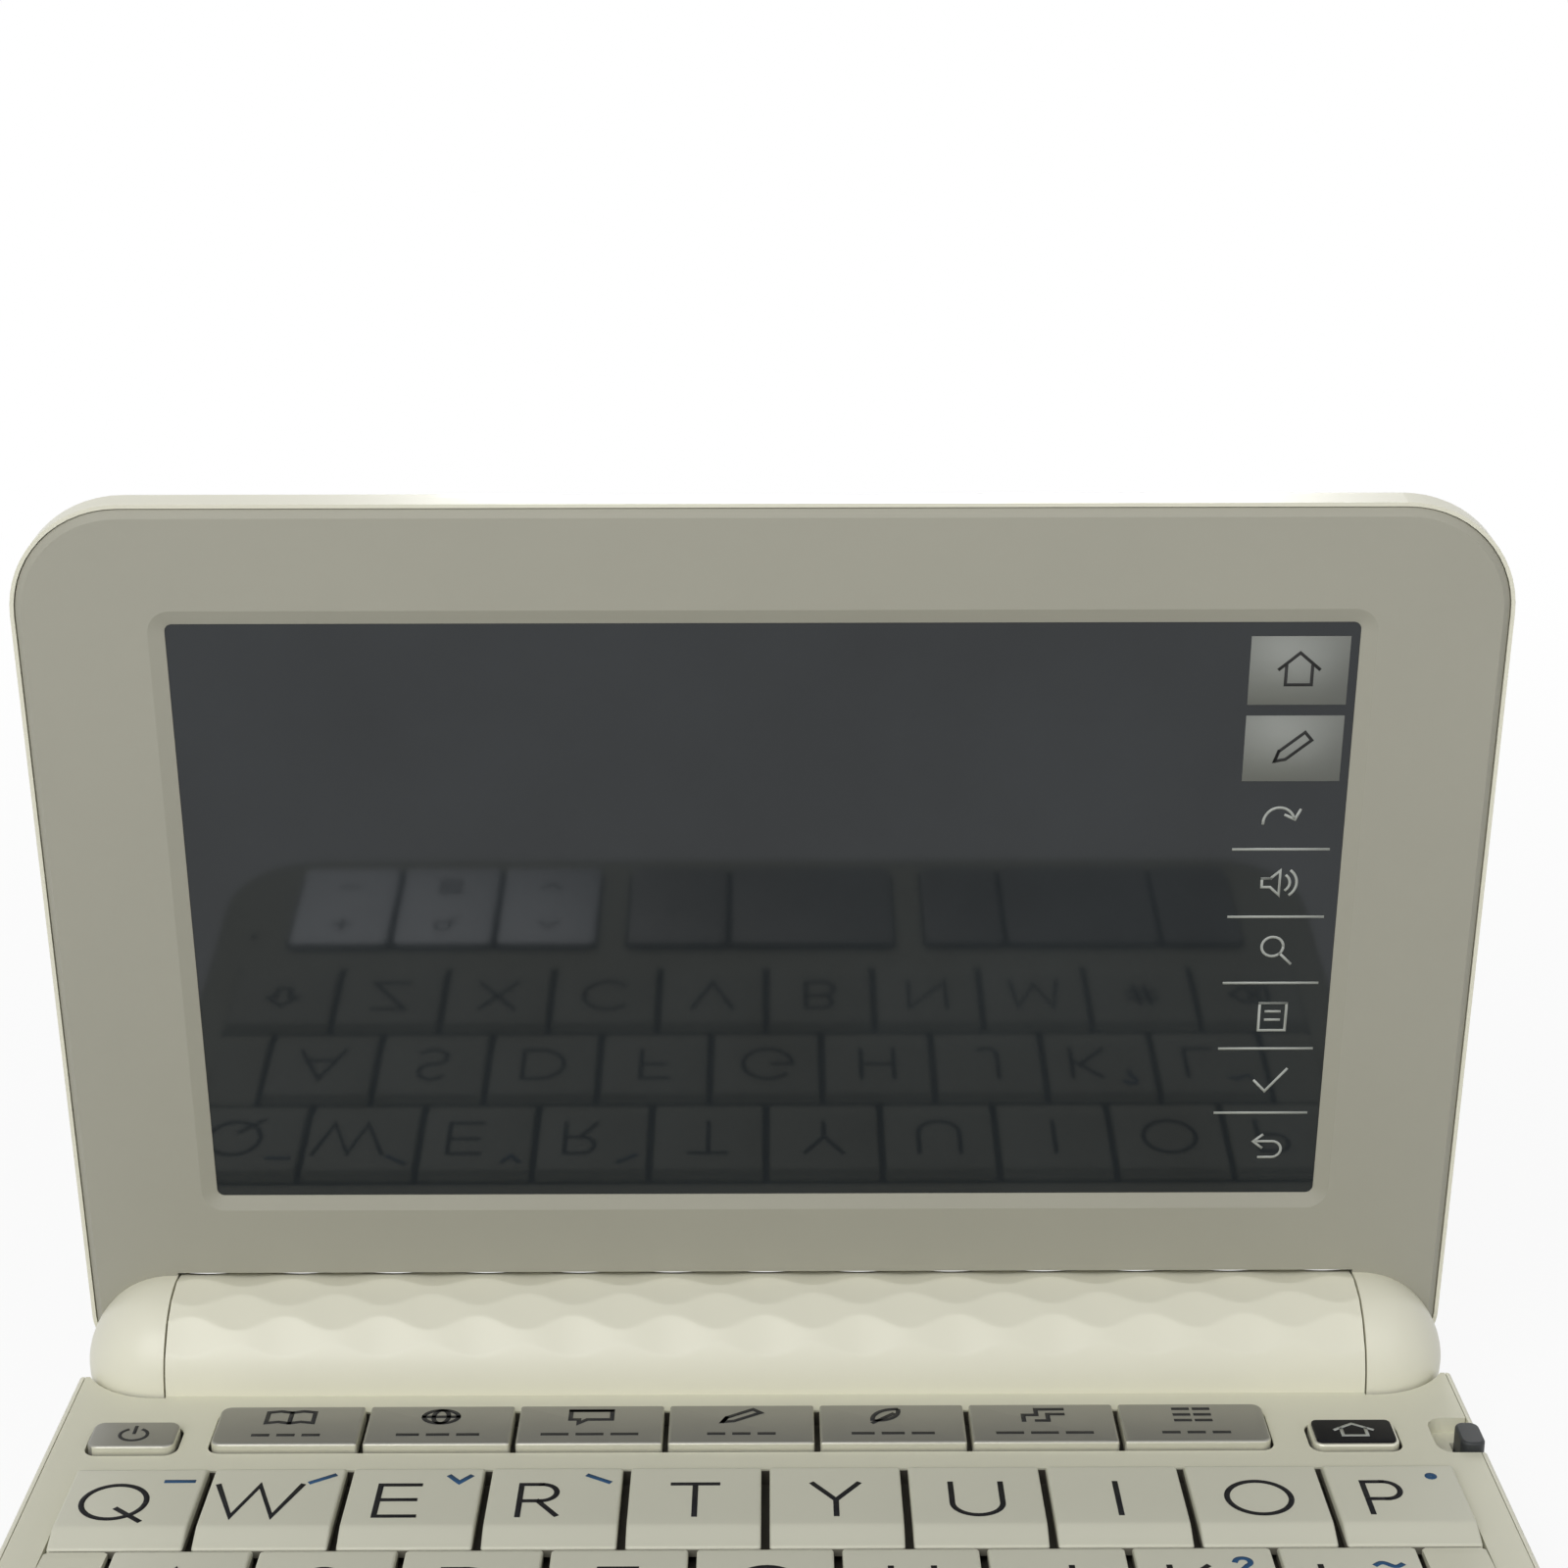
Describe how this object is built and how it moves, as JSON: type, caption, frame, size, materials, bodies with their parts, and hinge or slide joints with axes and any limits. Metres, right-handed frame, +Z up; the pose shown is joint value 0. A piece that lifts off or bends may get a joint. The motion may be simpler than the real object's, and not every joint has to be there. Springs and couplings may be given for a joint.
{
  "type": "electronic dictionary",
  "caption": "Clamshell pocket electronic dictionary: keyboard base, battery barrel hinge with facet relief, touch display lid, side stylus.",
  "frame": {"origin": "centre of the closed footprint, on the surface that the feet stand on", "axes": "+X to the right of someone who types, +Y to the hinge, +Z up; lid open at 83.25 degrees"},
  "size_m": [0.148, 0.1054, 0.1057],
  "materials": {
    "case_shell": "smooth cream-white moulded plastic",
    "deck_shell": "fine satin cream plastic",
    "barrel_shell": "soft-gloss cream-white plastic",
    "battery_wrap": "plain foil sleeve",
    "steel_fitting": "plated steel",
    "circuit_board": "green solder mask",
    "key_rubber": "dark grey silicone rubber",
    "stylus_grip": "dark grey plastic",
    "lid_face": "greige fine-textured paint",
    "lid_shell": "cream-white gloss paint",
    "display_glass": "glossy touch panel over a switched-off display",
    "letter_key": "satin cream plastic",
    "silver_key": "satin silver-grey paint",
    "home_key_top": "gloss black plate on a silver key",
    "function_key": "light silver paint",
    "command_key": "warm grey paint"
  },
  "bodies": {
    "base": {"bottom_case": "case_shell", "keyboard_deck": "deck_shell", "hinge_barrel": "barrel_shell", "batteries": "battery_wrap", "barrel_fittings": "steel_fitting", "main_board": "circuit_board", "dome_sheet": "key_rubber", "case_screws": "steel_fitting"},
    "lid": {"lid_bezel": "lid_face", "lid_back_cover": "lid_shell", "display_module": "display_glass", "hinge_caps": "barrel_shell"},
    "battery_door": {"battery_door": "barrel_shell"},
    "stylus": {"stylus": "stylus_grip"},
    "key_q": {"key_q": "letter_key"},
    "key_w": {"key_w": "letter_key"},
    "key_e": {"key_e": "letter_key"},
    "key_r": {"key_r": "letter_key"},
    "key_t": {"key_t": "letter_key"},
    "key_y": {"key_y": "letter_key"},
    "key_u": {"key_u": "letter_key"},
    "key_i": {"key_i": "letter_key"},
    "key_o": {"key_o": "letter_key"},
    "key_p": {"key_p": "letter_key"},
    "key_a": {"key_a": "letter_key"},
    "key_s": {"key_s": "letter_key"},
    "key_d": {"key_d": "letter_key"},
    "key_f": {"key_f": "letter_key"},
    "key_g": {"key_g": "letter_key"},
    "key_h": {"key_h": "letter_key"},
    "key_j": {"key_j": "letter_key"},
    "key_k": {"key_k": "letter_key"},
    "key_l": {"key_l": "letter_key"},
    "shift_key": {"shift_key": "letter_key"},
    "key_z": {"key_z": "letter_key"},
    "key_x": {"key_x": "letter_key"},
    "key_c": {"key_c": "letter_key"},
    "key_v": {"key_v": "letter_key"},
    "key_b": {"key_b": "letter_key"},
    "key_n": {"key_n": "letter_key"},
    "key_m": {"key_m": "letter_key"},
    "symbol_key": {"symbol_key": "letter_key"},
    "delete_key": {"delete_key": "letter_key"},
    "category_key_1": {"category_key_1": "silver_key"},
    "category_key_2": {"category_key_2": "silver_key"},
    "category_key_3": {"category_key_3": "silver_key"},
    "category_key_4": {"category_key_4": "silver_key"},
    "category_key_5": {"category_key_5": "silver_key"},
    "category_key_6": {"category_key_6": "silver_key"},
    "category_key_7": {"category_key_7": "silver_key"},
    "power_key": {"power_key": "silver_key"},
    "home_key": {"home_key": "home_key_top"},
    "back_key": {"back_key": "command_key"},
    "enter_key": {"enter_key": "command_key"},
    "cursor_left_key": {"cursor_left_key": "command_key"},
    "cursor_right_key": {"cursor_right_key": "command_key"},
    "function_rocker_1": {"function_rocker_1": "function_key"},
    "function_rocker_2": {"function_rocker_2": "function_key"},
    "function_rocker_3": {"function_rocker_3": "function_key"},
    "cursor_rocker": {"cursor_rocker": "command_key"}
  },
  "joints": [
    {"name": "lid_hinge", "type": "hinge", "parent": "base", "child": "lid", "pos_m": [0, 0.04375, 0.0092], "axis": [-1, 0, 0], "range_deg": [-83.25, 66.75]},
    {"name": "battery_door_slide", "type": "slide", "parent": "base", "child": "battery_door", "axis": [0, 1, 0], "range_m": [0, 0.005]},
    {"name": "stylus_release", "type": "slide", "parent": "base", "child": "stylus", "axis": [1, 0, 0], "range_m": [0, 0.006]},
    {"name": "key_q_press", "type": "slide", "parent": "base", "child": "key_q", "axis": [0, 0, -1], "range_m": [0, 0.0009], "stiffness_N_per_m": 600, "springref_m": -0.0003},
    {"name": "key_w_press", "type": "slide", "parent": "base", "child": "key_w", "axis": [0, 0, -1], "range_m": [0, 0.0009], "stiffness_N_per_m": 600, "springref_m": -0.0003},
    {"name": "key_e_press", "type": "slide", "parent": "base", "child": "key_e", "axis": [0, 0, -1], "range_m": [0, 0.0009], "stiffness_N_per_m": 600, "springref_m": -0.0003},
    {"name": "key_r_press", "type": "slide", "parent": "base", "child": "key_r", "axis": [0, 0, -1], "range_m": [0, 0.0009], "stiffness_N_per_m": 600, "springref_m": -0.0003},
    {"name": "key_t_press", "type": "slide", "parent": "base", "child": "key_t", "axis": [0, 0, -1], "range_m": [0, 0.0009], "stiffness_N_per_m": 600, "springref_m": -0.0003},
    {"name": "key_y_press", "type": "slide", "parent": "base", "child": "key_y", "axis": [0, 0, -1], "range_m": [0, 0.0009], "stiffness_N_per_m": 600, "springref_m": -0.0003},
    {"name": "key_u_press", "type": "slide", "parent": "base", "child": "key_u", "axis": [0, 0, -1], "range_m": [0, 0.0009], "stiffness_N_per_m": 600, "springref_m": -0.0003},
    {"name": "key_i_press", "type": "slide", "parent": "base", "child": "key_i", "axis": [0, 0, -1], "range_m": [0, 0.0009], "stiffness_N_per_m": 600, "springref_m": -0.0003},
    {"name": "key_o_press", "type": "slide", "parent": "base", "child": "key_o", "axis": [0, 0, -1], "range_m": [0, 0.0009], "stiffness_N_per_m": 600, "springref_m": -0.0003},
    {"name": "key_p_press", "type": "slide", "parent": "base", "child": "key_p", "axis": [0, 0, -1], "range_m": [0, 0.0009], "stiffness_N_per_m": 600, "springref_m": -0.0003},
    {"name": "key_a_press", "type": "slide", "parent": "base", "child": "key_a", "axis": [0, 0, -1], "range_m": [0, 0.0009], "stiffness_N_per_m": 600, "springref_m": -0.0003},
    {"name": "key_s_press", "type": "slide", "parent": "base", "child": "key_s", "axis": [0, 0, -1], "range_m": [0, 0.0009], "stiffness_N_per_m": 600, "springref_m": -0.0003},
    {"name": "key_d_press", "type": "slide", "parent": "base", "child": "key_d", "axis": [0, 0, -1], "range_m": [0, 0.0009], "stiffness_N_per_m": 600, "springref_m": -0.0003},
    {"name": "key_f_press", "type": "slide", "parent": "base", "child": "key_f", "axis": [0, 0, -1], "range_m": [0, 0.0009], "stiffness_N_per_m": 600, "springref_m": -0.0003},
    {"name": "key_g_press", "type": "slide", "parent": "base", "child": "key_g", "axis": [0, 0, -1], "range_m": [0, 0.0009], "stiffness_N_per_m": 600, "springref_m": -0.0003},
    {"name": "key_h_press", "type": "slide", "parent": "base", "child": "key_h", "axis": [0, 0, -1], "range_m": [0, 0.0009], "stiffness_N_per_m": 600, "springref_m": -0.0003},
    {"name": "key_j_press", "type": "slide", "parent": "base", "child": "key_j", "axis": [0, 0, -1], "range_m": [0, 0.0009], "stiffness_N_per_m": 600, "springref_m": -0.0003},
    {"name": "key_k_press", "type": "slide", "parent": "base", "child": "key_k", "axis": [0, 0, -1], "range_m": [0, 0.0009], "stiffness_N_per_m": 600, "springref_m": -0.0003},
    {"name": "key_l_press", "type": "slide", "parent": "base", "child": "key_l", "axis": [0, 0, -1], "range_m": [0, 0.0009], "stiffness_N_per_m": 600, "springref_m": -0.0003},
    {"name": "shift_key_press", "type": "slide", "parent": "base", "child": "shift_key", "axis": [0, 0, -1], "range_m": [0, 0.0009], "stiffness_N_per_m": 600, "springref_m": -0.0003},
    {"name": "key_z_press", "type": "slide", "parent": "base", "child": "key_z", "axis": [0, 0, -1], "range_m": [0, 0.0009], "stiffness_N_per_m": 600, "springref_m": -0.0003},
    {"name": "key_x_press", "type": "slide", "parent": "base", "child": "key_x", "axis": [0, 0, -1], "range_m": [0, 0.0009], "stiffness_N_per_m": 600, "springref_m": -0.0003},
    {"name": "key_c_press", "type": "slide", "parent": "base", "child": "key_c", "axis": [0, 0, -1], "range_m": [0, 0.0009], "stiffness_N_per_m": 600, "springref_m": -0.0003},
    {"name": "key_v_press", "type": "slide", "parent": "base", "child": "key_v", "axis": [0, 0, -1], "range_m": [0, 0.0009], "stiffness_N_per_m": 600, "springref_m": -0.0003},
    {"name": "key_b_press", "type": "slide", "parent": "base", "child": "key_b", "axis": [0, 0, -1], "range_m": [0, 0.0009], "stiffness_N_per_m": 600, "springref_m": -0.0003},
    {"name": "key_n_press", "type": "slide", "parent": "base", "child": "key_n", "axis": [0, 0, -1], "range_m": [0, 0.0009], "stiffness_N_per_m": 600, "springref_m": -0.0003},
    {"name": "key_m_press", "type": "slide", "parent": "base", "child": "key_m", "axis": [0, 0, -1], "range_m": [0, 0.0009], "stiffness_N_per_m": 600, "springref_m": -0.0003},
    {"name": "symbol_key_press", "type": "slide", "parent": "base", "child": "symbol_key", "axis": [0, 0, -1], "range_m": [0, 0.0009], "stiffness_N_per_m": 600, "springref_m": -0.0003},
    {"name": "delete_key_press", "type": "slide", "parent": "base", "child": "delete_key", "axis": [0, 0, -1], "range_m": [0, 0.0009], "stiffness_N_per_m": 600, "springref_m": -0.0003},
    {"name": "category_key_1_press", "type": "slide", "parent": "base", "child": "category_key_1", "axis": [0, 0, -1], "range_m": [0, 0.0009], "stiffness_N_per_m": 600, "springref_m": -0.0003},
    {"name": "category_key_2_press", "type": "slide", "parent": "base", "child": "category_key_2", "axis": [0, 0, -1], "range_m": [0, 0.0009], "stiffness_N_per_m": 600, "springref_m": -0.0003},
    {"name": "category_key_3_press", "type": "slide", "parent": "base", "child": "category_key_3", "axis": [0, 0, -1], "range_m": [0, 0.0009], "stiffness_N_per_m": 600, "springref_m": -0.0003},
    {"name": "category_key_4_press", "type": "slide", "parent": "base", "child": "category_key_4", "axis": [0, 0, -1], "range_m": [0, 0.0009], "stiffness_N_per_m": 600, "springref_m": -0.0003},
    {"name": "category_key_5_press", "type": "slide", "parent": "base", "child": "category_key_5", "axis": [0, 0, -1], "range_m": [0, 0.0009], "stiffness_N_per_m": 600, "springref_m": -0.0003},
    {"name": "category_key_6_press", "type": "slide", "parent": "base", "child": "category_key_6", "axis": [0, 0, -1], "range_m": [0, 0.0009], "stiffness_N_per_m": 600, "springref_m": -0.0003},
    {"name": "category_key_7_press", "type": "slide", "parent": "base", "child": "category_key_7", "axis": [0, 0, -1], "range_m": [0, 0.0009], "stiffness_N_per_m": 600, "springref_m": -0.0003},
    {"name": "power_key_press", "type": "slide", "parent": "base", "child": "power_key", "axis": [0, 0, -1], "range_m": [0, 0.0009], "stiffness_N_per_m": 600, "springref_m": -0.0003},
    {"name": "home_key_press", "type": "slide", "parent": "base", "child": "home_key", "axis": [0, 0, -1], "range_m": [0, 0.0009], "stiffness_N_per_m": 600, "springref_m": -0.0003},
    {"name": "back_key_press", "type": "slide", "parent": "base", "child": "back_key", "axis": [0, 0, -1], "range_m": [0, 0.0009], "stiffness_N_per_m": 600, "springref_m": -0.0003},
    {"name": "enter_key_press", "type": "slide", "parent": "base", "child": "enter_key", "axis": [0, 0, -1], "range_m": [0, 0.0009], "stiffness_N_per_m": 600, "springref_m": -0.0003},
    {"name": "cursor_left_key_press", "type": "slide", "parent": "base", "child": "cursor_left_key", "axis": [0, 0, -1], "range_m": [0, 0.0009], "stiffness_N_per_m": 600, "springref_m": -0.0003},
    {"name": "cursor_right_key_press", "type": "slide", "parent": "base", "child": "cursor_right_key", "axis": [0, 0, -1], "range_m": [0, 0.0009], "stiffness_N_per_m": 600, "springref_m": -0.0003},
    {"name": "function_rocker_1_tilt", "type": "hinge", "parent": "base", "child": "function_rocker_1", "pos_m": [-0.05738, -0.03985, 0.0085], "axis": [1, 0, 0], "range_deg": [-2.5, 2.5], "stiffness_Nm_per_rad": 0.09},
    {"name": "function_rocker_2_tilt", "type": "hinge", "parent": "base", "child": "function_rocker_2", "pos_m": [-0.04344, -0.03985, 0.0085], "axis": [1, 0, 0], "range_deg": [-2.5, 2.5], "stiffness_Nm_per_rad": 0.09},
    {"name": "function_rocker_3_tilt", "type": "hinge", "parent": "base", "child": "function_rocker_3", "pos_m": [-0.0295, -0.03985, 0.0085], "axis": [1, 0, 0], "range_deg": [-2.5, 2.5], "stiffness_Nm_per_rad": 0.09},
    {"name": "cursor_rocker_tilt", "type": "hinge", "parent": "base", "child": "cursor_rocker", "pos_m": [0.0426, -0.03985, 0.0085], "axis": [1, 0, 0], "range_deg": [-2.5, 2.5], "stiffness_Nm_per_rad": 0.09}
  ]
}
